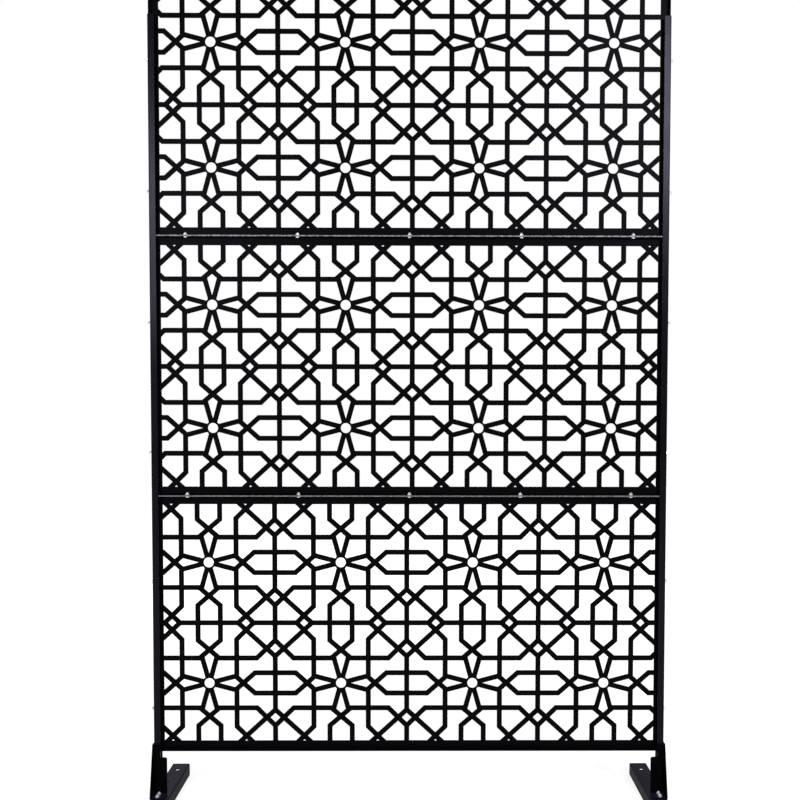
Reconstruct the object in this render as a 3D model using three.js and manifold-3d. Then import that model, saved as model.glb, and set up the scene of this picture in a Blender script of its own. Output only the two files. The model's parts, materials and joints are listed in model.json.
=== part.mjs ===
// A free-standing screen: three perforated sheet-metal pans stacked and bolted edge to edge, held at both
// sides by channel posts, which stand in folded brackets on two cross feet.
// Millimetres, +Z up. The origin is on the ground, midway between the feet and midway along them. The pans
// open towards -Y, the side that their flanges point to.
import * as THREE from "three";
import { mergeVertices } from "three/addons/utils/BufferGeometryUtils.js";
import Module from "manifold-3d";

const wasm = await Module();
wasm.setup();

// ---- Driving dimensions ----------------------------------------------------------------------------------

// Clearances
const FIT = 0.3; // between a piece and the channel or hole that it goes into
const COAT = 0.1; // the paint film between two faces that are clamped together

// Panels: pans folded from one sheet
const PANEL_COUNT = 3;
const PANEL_WIDTH = 1190.4;
const PANEL_PITCH = 600; // from one seam to the next
const SEAM_GAP = 0.3;
const PAN_DEPTH = 15.2;
const SHEET = 1.2;
const CORNER_RELIEF = 2; // the notch between two flanges at each corner
const BORDER = 20; // plain sheet between a panel's edge and its openings
const GROUND_CLEARANCE = 130; // below the lowest panel

// Lattice: flowers on a grid, with a cross in the middle of each four
const FLOWER_PITCH_X = 308.7;
const FLOWER_PITCH_Z = 285.3;
const LATTICE_SHIFT = 6.2; // the lattice sits this far off the panel's middle, along the seam
const STRIP = 12; // width of the metal strips
const HUB_HOLE = 23.2; // diameter of the hole in each flower
const HUB_RADIUS = 16.5; // plain metal round that hole
const PETAL_ANGLE_X = 14.8; // degrees from the axis to a petal's strip, for the petals along X
const PETAL_ANGLE_Z = 15.6; // and for those along Z
const RAIL_X = 64; // upright strips beside a flower
const RAIL_Z = 59.2; // level strips above and below it
const TIP_X = 79.5; // where the strips past a petal's tip cross
const TIP_Z = 78.8;
const TIP_SLOPE_X = 41.7; // degrees that these strips climb
const TIP_SLOPE_Z = 40.6;
const BAND_X = 26.2; // half the distance between the two upright strips that run on from a petal
const BAND_Z = 24.1;
const FORK_X = 50.5; // from the cross to where its level arms fork
const FORK_Z = 41.2; // and its upright arms
const FORK_SLOPE = 44.5;
const DIAMOND_X = 86.3; // half the width of the large diamond round the cross
const DIAMOND_Z = 79.1;
const SMALLEST_OPENING = 30; // square millimetres; a smaller remnant at the border stays closed

// Posts: channels that the panels' side flanges sit in
const POST_WALL = 1.5;
const POST_LIP = 15.5;
const POST_BEND = 2.4; // outer radius of the fold
const POST_TOP_DROP = 100; // from the screen's top edge down to the posts' top
const POST_JOINT_RISE = 258; // from the second panel's lower edge to where two sections of a post meet
const POST_JOINT_GAP = 0.3;

// Feet: channels lying open side down
const FOOT_LENGTH = 350;
const FOOT_WIDTH = 43;
const FOOT_HEIGHT = 29;
const FOOT_WALL = 2;
const FOOT_BEND = 1.6;
const STAKE_HOLE = 9;
const STAKE_HOLE_INSET = 38;
const SPARE_HOLE_REACH = 63.5; // from the middle plane to the free bolt hole in front and behind

// Brackets: plate in front of and outside the lower end of each post, with a tongue bolted to the foot
const PLATE = 2.5;
const BRACKET_PLAY = 0.5; // between the post and the bracket's outer wall
const BRACKET_WIDTH = 34;
const BRACKET_TOP = 148;
const BRACKET_SHOULDER = 117; // top of its full width, under the panel
const BRACKET_NECK = 18.5; // width above the shoulder
const BRACKET_CORNER = 3; // the shoulder's corner is cut off by this much
const TONGUE_REACH = 40; // from the middle plane to the front of the tongue
const GUSSET_TOP_REACH = 12.8; // and to the front of the outer wall's top
const POST_BOLT_HEIGHT = 59.5;

// Fasteners
const BOLT = 5; // thread diameter
const HEAD = 9.6;
const HEAD_HEIGHT = 2.8;
const NUT = 8; // across flats
const NUT_HEIGHT = 4;
const BOLT_END = 2.4; // thread standing out of a nut
const SINK_HEAD = 9.2; // countersunk head of the bolt that ties a bracket to its post
const SEAM_BOLTS = 5; // along each seam
const SEAM_BOLT_INSET = 79.2; // from a panel's side edge to its outermost seam bolt
const SIDE_BOLT_FIRST = 100; // above each panel's lower edge
const SIDE_BOLT_LAST = 200; // below the next panel's lower edge
const FOOT_BOLT_FIRST = 18; // from the middle plane to the nearer bolt in the tongue
const FOOT_BOLT_SPACING = 16;
const FOOT_BOLT_INSET = 16.5; // from the bracket's outer face
const SINK_DEPTH = 2.1;
const THREAD_PLAY = 0.15;
const ROUND_SIDES = 6; // sides of the turned shapes and of the bolt holes
const HUB_SIDES = 8;

// ---- Worked out from these -------------------------------------------------------------------------------

const PANEL_HEIGHT = PANEL_PITCH - SEAM_GAP;
const SCREEN_TOP = GROUND_CLEARANCE + PANEL_COUNT * PANEL_PITCH - SEAM_GAP;
const PAN_FRONT = -PAN_DEPTH / 2;
const PAN_BACK = PAN_DEPTH / 2;
const FACE_FRONT = PAN_BACK - SHEET;
const FLANGE_MIDDLE = (PAN_FRONT + FACE_FRONT) / 2;
const POST_FRONT = PAN_FRONT - FIT - POST_WALL;
const POST_BACK = PAN_BACK + FIT + POST_WALL;
const POST_OUTER = PANEL_WIDTH / 2 + FIT + POST_WALL;
const POST_TOP = SCREEN_TOP - POST_TOP_DROP;
const POST_JOINT = GROUND_CLEARANCE + PANEL_PITCH + POST_JOINT_RISE;
const POST_BOTTOM = FOOT_HEIGHT + FIT;
const BRACKET_OUTER = POST_OUTER + BRACKET_PLAY + PLATE;
const BRACKET_INNER = BRACKET_OUTER - BRACKET_WIDTH;
const BRACKET_BOTTOM = FOOT_HEIGHT + COAT;
const WEB_BACK = POST_FRONT - FIT;
const WEB_FRONT = WEB_BACK - PLATE;
const FOOT_MIDDLE = BRACKET_OUTER - FOOT_WIDTH / 2;
const HOLE = BOLT + 2 * FIT;
const SIDE_BOLT_HEIGHTS = [SIDE_BOLT_FIRST, PANEL_PITCH - SIDE_BOLT_LAST];
const PAST = 1; // a cutting shape runs this far past what it cuts

// ---- Shapes ----------------------------------------------------------------------------------------------

const radians = THREE.MathUtils.degToRad;

// A closed three.js geometry as a solid that can be joined and cut.
function solid(geometry) {
  geometry.deleteAttribute("normal");
  geometry.deleteAttribute("uv");
  const merged = mergeVertices(geometry, 1e-4);
  const index = merged.index.array;
  const triangles = [];
  for (let i = 0; i < index.length; i += 3) {
    const [a, b, c] = index.slice(i, i + 3);
    if (a !== b && b !== c && c !== a) triangles.push(a, b, c);
  }
  return new wasm.Manifold(
    new wasm.Mesh({
      numProp: 3,
      vertProperties: new Float32Array(merged.attributes.position.array),
      triVerts: new Uint32Array(triangles),
    }),
  );
}

// An outline of [a, b] points, extruded along one axis from one place to another. Along X its points are
// (y, z), along Y (x, z) and along Z (x, y).
function prism(outline, axis, from, to) {
  const shape = new THREE.Shape(outline.map(([a, b]) => new THREE.Vector2(a, b)));
  const depth = Math.abs(to - from);
  const geometry = new THREE.ExtrudeGeometry(shape, { depth, bevelEnabled: false });
  if (axis === "x") geometry.rotateX(Math.PI / 2).rotateZ(Math.PI / 2);
  if (axis === "y") geometry.rotateX(Math.PI / 2).translate(0, depth, 0);
  const start = Math.min(from, to);
  const shift = { x: [start, 0, 0], y: [0, start, 0], z: [0, 0, start] }[axis];
  return solid(geometry.translate(...shift));
}

// A turned piece: a profile of [radius, height] points, from axis to axis, about an axis through a point.
function turned(profile, axis, [x, y, z]) {
  const points = profile.map(([r, h]) => new THREE.Vector2(r, h));
  const geometry = new THREE.LatheGeometry(points, ROUND_SIDES);
  if (axis === "z") geometry.rotateX(Math.PI / 2).rotateZ(Math.PI / 2);
  if (axis === "x") geometry.rotateZ(-Math.PI / 2);
  return solid(geometry.translate(x, y, z));
}

function rod(diameter, axis, centre, from, to) {
  const r = diameter / 2;
  return turned([[0, from], [r, from], [r, to], [0, to]], axis, centre);
}

const box = ([x0, x1], [y0, y1], [z0, z1]) => prism([[x0, y0], [x1, y0], [x1, y1], [x0, y1]], "z", z0, z1);
const union = (pieces) => wasm.Manifold.union(pieces);

// ---- Lattice ---------------------------------------------------------------------------------------------

const HALF_X = FLOWER_PITCH_X / 2;
const HALF_Z = FLOWER_PITCH_Z / 2;
const DIAMOND_SLOPE = THREE.MathUtils.radToDeg(Math.atan2(DIAMOND_Z, DIAMOND_X));

// A strip's centre line, through a point at a slope in degrees.
const line = (x, z, slope) => ({ x, z, dx: Math.cos(radians(slope)), dz: Math.sin(radians(slope)) });

function crossing(a, b) {
  const turn = a.dx * b.dz - a.dz * b.dx;
  const t = ((b.x - a.x) * b.dz - (b.z - a.z) * b.dx) / turn;
  return [a.x + t * a.dx, a.z + t * a.dz];
}

// The corners where each line of a ring crosses the one before it.
const ring = (lines) => lines.map((now, i) => crossing(lines.at(i - 1), now));

// The opening that is left inside a ring of centre lines by strips of a given width.
function opening(lines) {
  const corners = ring(lines);
  const around = corners.map(([x, z], i) => [x, z, ...corners[(i + 1) % corners.length]]);
  const inward = Math.sign(around.reduce((sum, [x0, z0, x1, z1]) => sum + x0 * z1 - x1 * z0, 0));
  const moved = around.map(([x0, z0, x1, z1]) => {
    const length = Math.hypot(x1 - x0, z1 - z0) * inward;
    const dx = (x1 - x0) / length;
    const dz = (z1 - z0) / length;
    return { x: x0 - (dz * STRIP) / 2, z: z0 + (dx * STRIP) / 2, dx, dz };
  });
  return ring(moved);
}

// The same outline in each of the places that mirroring gives it.
function mirrored(outline, signsX, signsZ) {
  return signsX.flatMap((sx) => signsZ.map((sz) => outline.map(([x, z]) => [sx * x, sz * z])));
}

// The corner nearest the middle, cut back to a circle round the hub.
function trimmed(outline, radius) {
  const near = outline.findIndex(([x, z]) => Math.hypot(x, z) < radius);
  const corner = outline[near];
  const meet = ([x, z]) => {
    const length = Math.hypot(x - corner[0], z - corner[1]);
    const dx = (x - corner[0]) / length;
    const dz = (z - corner[1]) / length;
    const along = corner[0] * dx + corner[1] * dz;
    const t = Math.sqrt(along ** 2 + radius ** 2 - Math.hypot(...corner) ** 2) - along;
    return [corner[0] + t * dx, corner[1] + t * dz];
  };
  const before = meet(outline.at(near - 1));
  const after = meet(outline[(near + 1) % outline.length]);
  return outline.flatMap((point, i) => (i === near ? [before, after] : [point]));
}

const BOTH = [1, -1];
const level = (z) => line(0, z, 0);
const upright = (x) => line(x, 0, 90);

// Openings round one flower, with its middle at the origin.
function flower() {
  const petalX = line(0, 0, PETAL_ANGLE_X);
  const petalXBelow = line(0, 0, -PETAL_ANGLE_X);
  const petalZ = line(0, 0, 90 - PETAL_ANGLE_Z);
  const petalZLeft = line(0, 0, 90 + PETAL_ANGLE_Z);
  const tipX = line(TIP_X, 0, TIP_SLOPE_X);
  const tipXFalling = line(TIP_X, 0, -TIP_SLOPE_X);
  const tipZ = line(0, TIP_Z, TIP_SLOPE_Z);
  const tipZFalling = line(0, TIP_Z, -TIP_SLOPE_Z);
  const diamond = line(HALF_X - DIAMOND_X, HALF_Z, -DIAMOND_SLOPE);
  const forkX = line(HALF_X - FORK_X, HALF_Z, FORK_SLOPE);
  const forkZ = line(HALF_X, HALF_Z - FORK_Z, FORK_SLOPE);
  const edgeX = upright(HALF_X);
  const edgeZ = level(HALF_Z);
  const railX = upright(RAIL_X);
  const railZ = level(RAIL_Z);

  const hub = Array.from({ length: HUB_SIDES }, (_, i) => {
    const angle = (2 * Math.PI * (i + 0.5)) / HUB_SIDES;
    return [(HUB_HOLE / 2) * Math.cos(angle), (HUB_HOLE / 2) * Math.sin(angle)];
  });
  const petals = [
    ...mirrored(opening([petalXBelow, tipX, tipXFalling, petalX]), BOTH, [1]),
    ...mirrored(opening([petalZ, tipZFalling, tipZ, petalZLeft]), [1], BOTH),
  ];
  const between = mirrored(trimmed(opening([petalX, railX, railZ, petalZ]), HUB_RADIUS), BOTH, BOTH);
  const beside = opening([railX, tipXFalling, tipX, level(BAND_Z), edgeX, diamond, forkZ, railZ]);
  const above = opening([railZ, railX, forkX, diamond, edgeZ, upright(BAND_X), tipZ, tipZFalling]);
  const corner = opening([railX, railZ, forkZ, diamond, forkX]);
  const boats = [
    ...mirrored(opening([tipX, tipXFalling, level(-BAND_Z), edgeX, level(BAND_Z)]), BOTH, [1]),
    ...mirrored(opening([tipZFalling, tipZ, upright(BAND_X), edgeZ, upright(-BAND_X)]), [1], BOTH),
  ];
  const large = [beside, above, corner].flatMap((outline) => mirrored(outline, BOTH, BOTH));
  return [hub, ...petals, ...between, ...boats, ...large];
}

// Openings round one cross, with its middle at the origin.
function cross() {
  const armX = level(0);
  const armZ = upright(0);
  const forkX = line(FORK_X, 0, -FORK_SLOPE);
  const forkZ = line(0, FORK_Z, -FORK_SLOPE);
  const edge = line(DIAMOND_X, 0, -DIAMOND_SLOPE);
  const edgeLeft = line(-DIAMOND_X, 0, DIAMOND_SLOPE);
  const edgeBelow = line(DIAMOND_X, 0, DIAMOND_SLOPE);
  const quarter = opening([armX, line(FORK_X, 0, FORK_SLOPE), edge, line(0, FORK_Z, FORK_SLOPE), armZ]);
  const endX = opening([line(FORK_X, 0, FORK_SLOPE), edge, edgeBelow, forkX]);
  const endZ = opening([line(0, FORK_Z, FORK_SLOPE), edge, edgeLeft, forkZ]);
  return [...mirrored(quarter, BOTH, BOTH), ...mirrored(endX, BOTH, [1]), ...mirrored(endZ, [1], BOTH)];
}

// Every opening of one panel as one cutting solid, in the panel's own frame, middle at the origin.
function latticeCutter(halfWidth, halfHeight) {
  const depth = [FACE_FRONT - SHEET, PAN_BACK + SHEET];
  const window = box([-halfWidth, halfWidth], [PAN_FRONT, 2 * PAN_BACK], [-halfHeight, halfHeight]);
  const columns = Math.ceil((halfWidth + Math.abs(LATTICE_SHIFT)) / FLOWER_PITCH_X);
  const rows = Math.ceil(halfHeight / FLOWER_PITCH_Z);
  const cutters = [];
  const place = (outlines, x, z) => {
    for (const outline of outlines) {
      const moved = outline.map(([a, b]) => [a + x, b + z]);
      const inside = moved.filter(([a, b]) => Math.abs(a) < halfWidth && Math.abs(b) < halfHeight);
      if (!inside.length) continue;
      const cutter = prism(moved, "y", ...depth);
      const pieces = inside.length < moved.length ? cutter.intersect(window).decompose() : [cutter];
      const smallest = SMALLEST_OPENING * (depth[1] - depth[0]);
      cutters.push(...pieces.filter((piece) => piece.volume() > smallest));
    }
  };
  for (let i = -columns; i <= columns; i++) {
    for (let j = -rows; j <= rows; j++) {
      const x = LATTICE_SHIFT + i * FLOWER_PITCH_X;
      const z = j * FLOWER_PITCH_Z;
      place(flower(), x + HALF_X, z + HALF_Z);
      place(cross(), x, z);
    }
  }
  return union(cutters);
}

// ---- Sheet-metal pieces ----------------------------------------------------------------------------------

const seamBoltPlaces = Array.from({ length: SEAM_BOLTS }, (_, i) => {
  const reach = PANEL_WIDTH / 2 - SEAM_BOLT_INSET;
  return -reach + (2 * reach * i) / (SEAM_BOLTS - 1);
});
const panelMiddle = (i) => GROUND_CLEARANCE + i * PANEL_PITCH + PANEL_HEIGHT / 2;
const sideBoltHeights = Array.from({ length: PANEL_COUNT }, (_, i) =>
  SIDE_BOLT_HEIGHTS.map((height) => GROUND_CLEARANCE + i * PANEL_PITCH + height),
).flat();
const footBolt = { x: BRACKET_OUTER - FOOT_BOLT_INSET };
footBolt.y = [0, 1].map((i) => -FOOT_BOLT_FIRST - i * FOOT_BOLT_SPACING);

// One pan about its own middle. Its side holes lie alike from both ends, so it can be turned end for end.
function panel() {
  const w = PANEL_WIDTH / 2;
  const h = PANEL_HEIGHT / 2;
  const front = [PAN_FRONT - PAST, FACE_FRONT];
  const hollow = box([-w + SHEET, w - SHEET], front, [-h + SHEET, h - SHEET]);
  const relief = (reach) => [
    [-reach - PAST, CORNER_RELIEF - reach],
    [reach - CORNER_RELIEF, reach + PAST],
  ];
  const corners = relief(w).flatMap((spanX) => relief(h).map((spanZ) => box(spanX, front, spanZ)));
  const seamHoles = seamBoltPlaces.map((x) => rod(HOLE, "z", [x, FLANGE_MIDDLE, 0], -h - PAST, h + PAST));
  const sideHoles = SIDE_BOLT_HEIGHTS.flatMap((height) => [height - h, h - height]).map((z) =>
    rod(HOLE, "x", [0, FLANGE_MIDDLE, z], -w - PAST, w + PAST),
  );
  return box([-w, w], [PAN_FRONT, PAN_BACK], [-h, h])
    .subtract(union([hollow, ...corners, ...seamHoles, ...sideHoles]))
    .subtract(latticeCutter(w - BORDER, h - BORDER));
}

// The right-hand post between two heights: a channel that opens inwards.
function post(bottom, top) {
  const lip = POST_OUTER - POST_LIP;
  const inner = POST_OUTER - POST_WALL;
  const fold = POST_OUTER - POST_BEND;
  const facet = POST_BEND * (1 - Math.SQRT1_2);
  const half = [
    [lip, POST_FRONT],
    [fold, POST_FRONT],
    [POST_OUTER - facet, POST_FRONT + facet],
    [POST_OUTER, POST_FRONT + POST_BEND],
  ];
  const inside = [[inner, POST_FRONT + POST_WALL], [lip, POST_FRONT + POST_WALL]];
  const flipped = (points) => points.map(([x, y]) => [x, -y]).reverse();
  const channel = prism([...half, ...flipped(half), ...flipped(inside), ...inside], "z", bottom, top);
  const places = [[0, POST_BOLT_HEIGHT], ...sideBoltHeights.map((z) => [FLANGE_MIDDLE, z])];
  const holes = places
    .filter(([, z]) => z > bottom && z < top)
    .map(([y, z]) => rod(HOLE, "x", [0, y, z], inner - PAST, POST_OUTER + PAST));
  return channel.subtract(union(holes));
}

// The right-hand foot.
function foot() {
  const w = FOOT_WIDTH / 2;
  const outline = [
    [w, 0],
    [w, FOOT_HEIGHT - FOOT_BEND],
    [w - FOOT_BEND, FOOT_HEIGHT],
    [FOOT_BEND - w, FOOT_HEIGHT],
    [-w, FOOT_HEIGHT - FOOT_BEND],
    [-w, 0],
    [FOOT_WALL - w, 0],
    [FOOT_WALL - w, FOOT_HEIGHT - FOOT_WALL],
    [w - FOOT_WALL, FOOT_HEIGHT - FOOT_WALL],
    [w - FOOT_WALL, 0],
  ].map(([x, z]) => [FOOT_MIDDLE + x, z]);
  const span = [FOOT_HEIGHT - FOOT_WALL - PAST, FOOT_HEIGHT + PAST];
  const stake = FOOT_LENGTH / 2 - STAKE_HOLE_INSET;
  const boltHoles = [...footBolt.y, -SPARE_HOLE_REACH, SPARE_HOLE_REACH];
  const holes = [
    ...BOTH.map((end) => rod(STAKE_HOLE, "z", [FOOT_MIDDLE, end * stake, 0], ...span)),
    ...boltHoles.map((y) => rod(HOLE, "z", [footBolt.x, y, 0], ...span)),
  ];
  return prism(outline, "y", -FOOT_LENGTH / 2, FOOT_LENGTH / 2).subtract(union(holes));
}

// The right-hand bracket: a plate in front of the post, the tongue folded forwards from it onto the foot, and
// an outer wall along the post's side, which widens downwards in front into a gusset.
function bracket() {
  const neck = BRACKET_OUTER - BRACKET_NECK;
  const top = BRACKET_BOTTOM + PLATE;
  const plate = [
    [BRACKET_INNER, BRACKET_BOTTOM],
    [BRACKET_OUTER, BRACKET_BOTTOM],
    [BRACKET_OUTER, BRACKET_TOP],
    [neck, BRACKET_TOP],
    [neck, BRACKET_SHOULDER],
    [BRACKET_INNER + BRACKET_CORNER, BRACKET_SHOULDER],
    [BRACKET_INNER, BRACKET_SHOULDER - BRACKET_CORNER],
  ];
  const gusset = [
    [-TONGUE_REACH, BRACKET_BOTTOM],
    [POST_BACK, BRACKET_BOTTOM],
    [POST_BACK, BRACKET_TOP],
    [-GUSSET_TOP_REACH, BRACKET_TOP],
    [-TONGUE_REACH, top],
  ];
  const shape = union([
    prism(plate, "y", WEB_FRONT, WEB_BACK),
    prism(gusset, "x", BRACKET_OUTER - PLATE, BRACKET_OUTER),
    box([BRACKET_INNER, BRACKET_OUTER], [-TONGUE_REACH, WEB_BACK], [BRACKET_BOTTOM, top]),
  ]);
  const sink = [
    [0, POST_OUTER],
    [HOLE / 2, POST_OUTER],
    [HOLE / 2, BRACKET_OUTER - SINK_DEPTH],
    [HOLE / 2 + SINK_DEPTH + PAST, BRACKET_OUTER + PAST],
    [0, BRACKET_OUTER + PAST],
  ];
  return shape.subtract(
    union([
      turned(sink, "x", [0, 0, POST_BOLT_HEIGHT]),
      ...footBolt.y.map((y) => rod(HOLE, "z", [footBolt.x, y, 0], BRACKET_BOTTOM - PAST, top + PAST)),
    ]),
  );
}

// ---- Fasteners: each stands along +Z, with the face that its head bears on at z = 0 ----------------------

// A bolt whose end stands out of the nut on what it clamps.
function bolt(clamped) {
  const end = clamped + 2 * COAT + NUT_HEIGHT + BOLT_END;
  const profile = [
    [0, -HEAD_HEIGHT],
    [HEAD / 2, -HEAD_HEIGHT],
    [HEAD / 2, 0],
    [BOLT / 2, 0],
    [BOLT / 2, end],
    [0, end],
  ];
  return turned(profile, "z", [0, 0, 0]);
}

const hexagon = Array.from({ length: 6 }, (_, i) => {
  const corner = NUT / Math.sqrt(3);
  return [corner * Math.cos((i * Math.PI) / 3), corner * Math.sin((i * Math.PI) / 3)];
});
const nut = prism(hexagon, "z", 0, NUT_HEIGHT).subtract(
  rod(BOLT + 2 * THREAD_PLAY, "z", [0, 0, 0], -PAST, NUT_HEIGHT + PAST),
);

// The bolt through a bracket's outer wall, with its sunk head at the top and its end at z = 0.
function sunkBolt(length) {
  const profile = [
    [0, 0],
    [BOLT / 2, 0],
    [BOLT / 2, length - SINK_DEPTH],
    [SINK_HEAD / 2, length],
    [0, length],
  ];
  return turned(profile, "z", [0, 0, 0]);
}

// ---- Assembly --------------------------------------------------------------------------------------------

const screen = new THREE.Group();
screen.name = "screen";

const COATED = { color: 0x17191d, roughness: 0.55, metalness: 0.3 };
const PLATED = { color: 0xb4b7ba, roughness: 0.35, metalness: 0.9 };

function add(name, shape, finish, [x, y, z] = [0, 0, 0], turn = [0, 0, 0], side = 1) {
  const { vertProperties, triVerts } = shape.getMesh();
  const geometry = new THREE.BufferGeometry();
  geometry.setAttribute("position", new THREE.BufferAttribute(vertProperties, 3));
  geometry.setIndex(new THREE.BufferAttribute(triVerts, 1));
  geometry.computeVertexNormals();
  const mesh = new THREE.Mesh(geometry, new THREE.MeshStandardMaterial(finish));
  mesh.name = name;
  mesh.position.set(x, y, z);
  mesh.rotation.set(...turn);
  mesh.scale.x = side;
  screen.add(mesh);
}

const pan = panel();
const PANEL_NAMES = ["bottom", "middle", "top"];
for (let i = 0; i < PANEL_COUNT; i++) {
  const turn = i === 0 ? [0, Math.PI, 0] : [0, 0, 0];
  add(`panel_${PANEL_NAMES[i]}`, pan, COATED, [0, 0, panelMiddle(i)], turn);
}

const lowerPost = post(POST_BOTTOM, POST_JOINT - POST_JOINT_GAP / 2);
const upperPost = post(POST_JOINT + POST_JOINT_GAP / 2, POST_TOP);
const footShape = foot();
const bracketShape = bracket();
const sideClamped = SHEET + FIT + POST_WALL;
const sideNutStart = sideClamped + 2 * COAT;
const sideBolt = bolt(sideClamped).add(prism(hexagon, "z", sideNutStart, sideNutStart + NUT_HEIGHT));
const footBoltShape = bolt(FOOT_WALL + COAT + PLATE);
const postNutStart = POST_OUTER - POST_WALL - COAT - NUT_HEIGHT;
const postBoltEnd = postNutStart - BOLT_END;
const postBolt = sunkBolt(BRACKET_OUTER - postBoltEnd);

for (const [name, s] of [["left", -1], ["right", 1]]) {
  add(`post_${name}_lower`, lowerPost, COATED, undefined, undefined, s);
  add(`post_${name}_upper`, upperPost, COATED, undefined, undefined, s);
  add(`foot_${name}`, footShape, COATED, undefined, undefined, s);
  add(`bracket_${name}`, bracketShape, COATED, undefined, undefined, s);
  const outwards = [0, (s * Math.PI) / 2, 0];
  sideBoltHeights.forEach((z, i) => {
    const x = s * (PANEL_WIDTH / 2 - SHEET - COAT);
    add(`side_bolt_${name}_${i + 1}`, sideBolt, PLATED, [x, FLANGE_MIDDLE, z], outwards);
  });
  footBolt.y.forEach((y, i) => {
    const x = s * footBolt.x;
    add(`foot_bolt_${name}_${i + 1}`, footBoltShape, PLATED, [x, y, FOOT_HEIGHT - FOOT_WALL - COAT]);
    add(`foot_nut_${name}_${i + 1}`, nut, PLATED, [x, y, BRACKET_BOTTOM + PLATE + COAT]);
  });
  add(`post_bolt_${name}`, postBolt, PLATED, [s * postBoltEnd, 0, POST_BOLT_HEIGHT], outwards);
  add(`post_nut_${name}`, nut, PLATED, [s * postNutStart, 0, POST_BOLT_HEIGHT], outwards);
}

const seamBolt = bolt(2 * SHEET + SEAM_GAP);
const SEAM_NAMES = ["lower", "upper"];
for (let i = 1; i < PANEL_COUNT; i++) {
  const seam = GROUND_CLEARANCE + i * PANEL_PITCH;
  seamBoltPlaces.forEach((x, k) => {
    const label = `${SEAM_NAMES[i - 1]}_${k + 1}`;
    add(`seam_bolt_${label}`, seamBolt, PLATED, [x, FLANGE_MIDDLE, seam - SEAM_GAP - SHEET - COAT]);
    add(`seam_nut_${label}`, nut, PLATED, [x, FLANGE_MIDDLE, seam + SHEET + COAT]);
  });
}

export default screen;
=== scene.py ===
# %% [markdown]
# # A laser cut metal screen
# A free-standing screen, 1.2 m wide and 1.93 m high. Three shallow steel pans with a lattice cut through
# their faces are bolted on top of each other. Channel posts hold them at both sides and stand in bent
# brackets on two cross feet. All sheet metal is coated black, and the bolts and nuts are plated.
#
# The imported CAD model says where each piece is. This script gives the pieces their finer shapes: real folds,
# cut edges, threads and hexagons. It then gives them their finishes, and lights them as in a studio.

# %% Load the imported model
import json
import bpy
import numpy as np
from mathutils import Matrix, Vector
from mathutils.geometry import delaunay_2d_cdt

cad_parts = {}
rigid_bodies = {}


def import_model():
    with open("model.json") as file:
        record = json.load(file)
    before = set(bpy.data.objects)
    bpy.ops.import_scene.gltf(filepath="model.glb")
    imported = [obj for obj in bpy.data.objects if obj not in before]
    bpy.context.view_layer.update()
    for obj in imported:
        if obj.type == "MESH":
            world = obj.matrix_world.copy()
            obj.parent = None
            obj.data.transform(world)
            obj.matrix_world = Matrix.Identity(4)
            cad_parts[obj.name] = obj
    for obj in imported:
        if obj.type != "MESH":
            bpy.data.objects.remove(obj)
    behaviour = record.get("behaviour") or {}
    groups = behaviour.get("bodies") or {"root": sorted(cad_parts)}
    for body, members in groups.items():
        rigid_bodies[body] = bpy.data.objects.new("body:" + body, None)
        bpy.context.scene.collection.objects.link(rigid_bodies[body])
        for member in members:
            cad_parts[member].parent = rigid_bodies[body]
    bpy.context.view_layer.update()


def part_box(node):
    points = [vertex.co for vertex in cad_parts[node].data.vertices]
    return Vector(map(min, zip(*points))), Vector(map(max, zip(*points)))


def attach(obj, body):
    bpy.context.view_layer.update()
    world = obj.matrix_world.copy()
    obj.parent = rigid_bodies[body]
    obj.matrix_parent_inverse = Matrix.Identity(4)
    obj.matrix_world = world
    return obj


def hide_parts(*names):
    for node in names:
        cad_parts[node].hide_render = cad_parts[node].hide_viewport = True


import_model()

MM = 0.001

# %% [markdown]
# ## From numbers to a mesh
# Every shape below is worked out in millimetres as whole numpy arrays: a list of points, and grids of point
# numbers, one row for each face. Handing the arrays over with foreach_set is much faster than adding faces
# one by one. Faces that meet at less than 35 degrees are shaded as one smooth surface, so a fold of a few
# flat facets looks round, and a cut edge stays crisp.

# %% Make an object from arrays
def make_piece(name, points, grids, material, slot, *nodes, painted_light=None, where=None):
    """An object whose mesh holds its place, riding on the frame and standing for the CAD nodes named. Faces
    whose middle passes the where test, a function of (x, y, z) in millimetres, get the second material, which
    paints a highlight there."""
    mesh = bpy.data.meshes.new(name)
    corners = np.concatenate([grid.ravel() for grid in grids]).astype(np.int32)
    sizes = np.concatenate([np.full(len(grid), grid.shape[1]) for grid in grids])
    mesh.vertices.add(len(points))
    mesh.vertices.foreach_set("co", (points * MM).astype(np.float32).ravel())
    mesh.loops.add(len(corners))
    mesh.loops.foreach_set("vertex_index", corners)
    mesh.polygons.add(len(sizes))
    mesh.polygons.foreach_set("loop_start", (np.cumsum(sizes) - sizes).astype(np.int32))
    mesh.polygons.foreach_set("use_smooth", np.ones(len(sizes), dtype=bool))
    mesh.update(calc_edges=True)
    mesh.set_sharp_from_angle(angle=np.radians(35))
    mesh.materials.append(material)
    if painted_light:
        mesh.materials.append(painted_light)
        middles = np.concatenate([points[grid].mean(axis=1) for grid in grids])
        mesh.polygons.foreach_set("material_index", where(*middles.T).astype(np.int32))
    made = bpy.data.objects.new(name, mesh)
    bpy.context.scene.collection.objects.link(made)
    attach(made, "root")
    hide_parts(*nodes)
    return made


# %% Join surfaces, and mirror them
def joined(*surfaces):
    """Several (points, grids) as one: each surface's point numbers go up by the points before it."""
    starts = np.cumsum([0] + [len(points) for points, _ in surfaces])
    grids = [grid + start for (_, grids), start in zip(surfaces, starts) for grid in grids]
    return np.concatenate([points for points, _ in surfaces]), grids


def on_side(surface, side):
    """The same surface on the right (side 1), or mirrored to the left (side -1): x becomes side * x, and
    each face's corners run the other way round, so that it still points outwards."""
    points, grids = surface
    if side > 0:
        return points, grids
    return points * np.array([-1, 1, 1]), [grid[:, ::-1] for grid in grids]
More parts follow.
